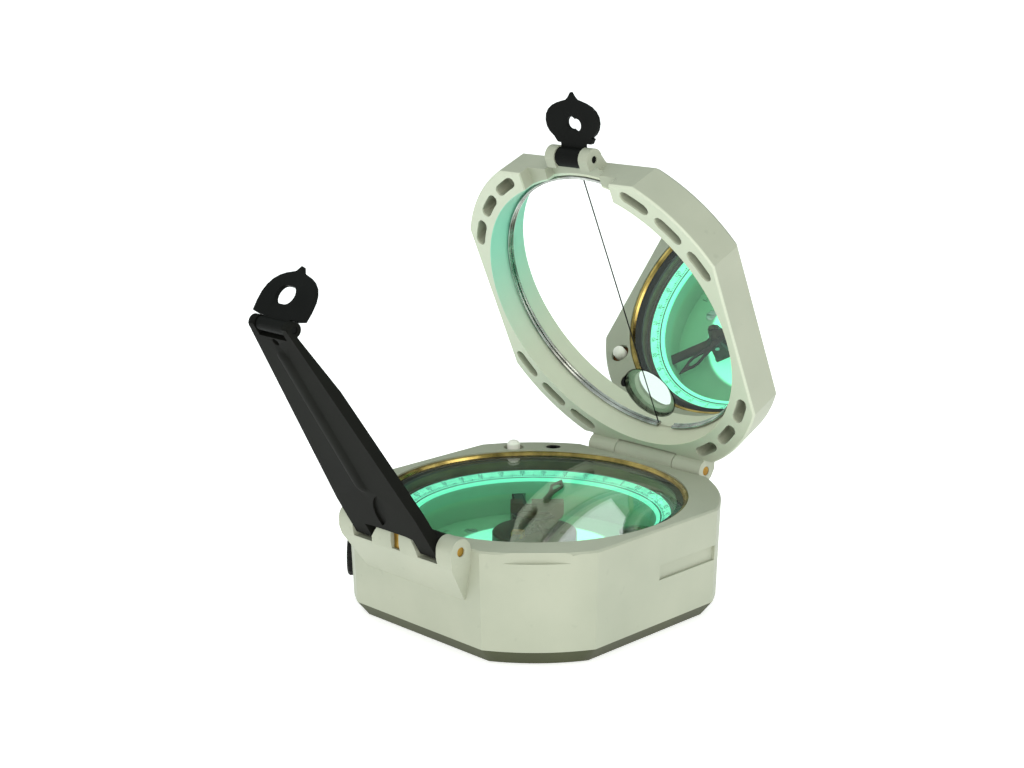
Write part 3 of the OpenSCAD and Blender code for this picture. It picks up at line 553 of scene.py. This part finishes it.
bub = Mat("bubble_air")
n1 = bub.noise(900, 2)
bub.set(Base_Color=bub.mix(n1, srgb(225, 245, 205), srgb(240, 250, 225)), Roughness=0.05)
bub.bsdf.inputs["Transmission Weight"].default_value = 0.85
bub.bsdf.inputs["IOR"].default_value = 1.0
lo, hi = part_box("round_level_glass")
ball("round_bubble", ((lo.x + hi.x) / 2 + 0.0004, (lo.y + hi.y) / 2 - 0.0003, hi.z - 0.00062), 0.0013, (1, 1, 0.28), bub, "case")
lo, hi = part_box("level_vial")
ball("tube_bubble", ((lo.x + hi.x) / 2, (lo.y + hi.y) / 2, (lo.z + hi.z) / 2 + 0.0009), 0.0026, (0.24, 1, 0.18), bub, "clinometer", math.radians(235))

# ------------------------------------------------------------------ stage, light, camera

floor_m = Mat("floor")
n1 = floor_m.noise(3, 3)
floor_m.set(Base_Color=floor_m.mix(n1, (0.95, 0.95, 0.95), (0.97, 0.97, 0.97)), Roughness=0.7)
floor_m.bsdf.inputs["Emission Color"].default_value = (1, 1, 1, 1)
floor_m.bsdf.inputs["Emission Strength"].default_value = 0.62
bm = bmesh.new()
bmesh.ops.create_circle(bm, cap_ends=True, segments=96, radius=6)
me = bpy.data.meshes.new("floor")
bm.to_mesh(me)
bm.free()
floor = bpy.data.objects.new("floor", me)
floor.location = (0, 0, -0.0002)
me.materials.append(floor_m.m)
bpy.context.scene.collection.objects.link(floor)

world = bpy.data.worlds.new("studio")
bpy.context.scene.world = world
world.use_nodes = True
wt = world.node_tree
bg = wt.nodes["Background"]
tc = wt.nodes.new("ShaderNodeTexCoord")
sep = wt.nodes.new("ShaderNodeSeparateXYZ")
ramp = wt.nodes.new("ShaderNodeValToRGB")
wt.links.new(tc.outputs["Generated"], sep.inputs[0])
wt.links.new(sep.outputs[2], ramp.inputs[0])
ramp.color_ramp.elements[0].position = 0.0
ramp.color_ramp.elements[0].color = (0.93, 0.97, 0.94, 1)
ramp.color_ramp.elements[1].position = 0.75
ramp.color_ramp.elements[1].color = (0.66, 0.74, 0.72, 1)
# a dark screen low down behind the object, for the glass to mirror
dot = wt.nodes.new("ShaderNodeVectorMath")
dot.operation = "DOT_PRODUCT"
dot.inputs[1].default_value = (0.705, 0.709, 0)
wt.links.new(tc.outputs["Generated"], dot.inputs[0])
side_range = wt.nodes.new("ShaderNodeMapRange")
side_range.interpolation_type = "SMOOTHSTEP"
side_range.inputs["From Min"].default_value = 0.62
side_range.inputs["From Max"].default_value = 0.86
wt.links.new(dot.outputs["Value"], side_range.inputs["Value"])
screen = wt.nodes.new("ShaderNodeMix")
screen.data_type = "RGBA"
wt.links.new(side_range.outputs["Result"], screen.inputs[0])
wt.links.new(ramp.outputs[0], screen.inputs[6])
screen.inputs[7].default_value = (0.07, 0.085, 0.075, 1)
wt.links.new(screen.outputs[2], bg.inputs[0])
bg.inputs[1].default_value = 1.0


def area(name, loc, target, size, power, color=(1, 1, 1)):
    l = bpy.data.lights.new(name, "AREA")
    l.shape = "RECTANGLE"
    l.size, l.size_y = size
    l.energy = power
    l.color = color
    o = bpy.data.objects.new(name, l)
    o.location = loc
    o.rotation_mode = "QUATERNION"
    o.rotation_quaternion = (Vector(target) - Vector(loc)).to_track_quat("-Z", "Y")
    bpy.context.scene.collection.objects.link(o)
    return o


area("key", (-0.5, -0.5, 0.32), (0, 0, 0.03), (0.4, 0.4), 1.5, (1.0, 0.95, 0.84))
area("top", (-0.1, 0.1, 0.8), (0, 0, 0.03), (0.5, 0.5), 0.8, (0.95, 1.0, 0.98))

az, el, roll, dist = math.radians(-44.854), math.radians(13.941), math.radians(-0.245), 0.37936
back = Vector((math.sin(az) * math.cos(el), -math.cos(az) * math.cos(el), math.sin(el)))
target = Vector((-0.002776, 0.003939, 0.047979))
xa = Vector((0, 0, 1)).cross(back).normalized()
ya = back.cross(xa)
x2 = xa * math.cos(roll) + ya * math.sin(roll)
y2 = ya * math.cos(roll) - xa * math.sin(roll)
cam_data = bpy.data.cameras.new("camera")
cam_data.sensor_width = 36
cam_data.lens = 1782.1 * 36 / 1024
cam_data.clip_start, cam_data.clip_end = 0.01, 50
cam = bpy.data.objects.new("camera", cam_data)
pos = target + back * dist
cam.matrix_world = Matrix(((x2.x, y2.x, back.x, pos.x), (x2.y, y2.y, back.y, pos.y), (x2.z, y2.z, back.z, pos.z), (0, 0, 0, 1)))
bpy.context.scene.collection.objects.link(cam)
bpy.context.scene.camera = cam
bpy.context.scene.view_settings.view_transform = "Standard"
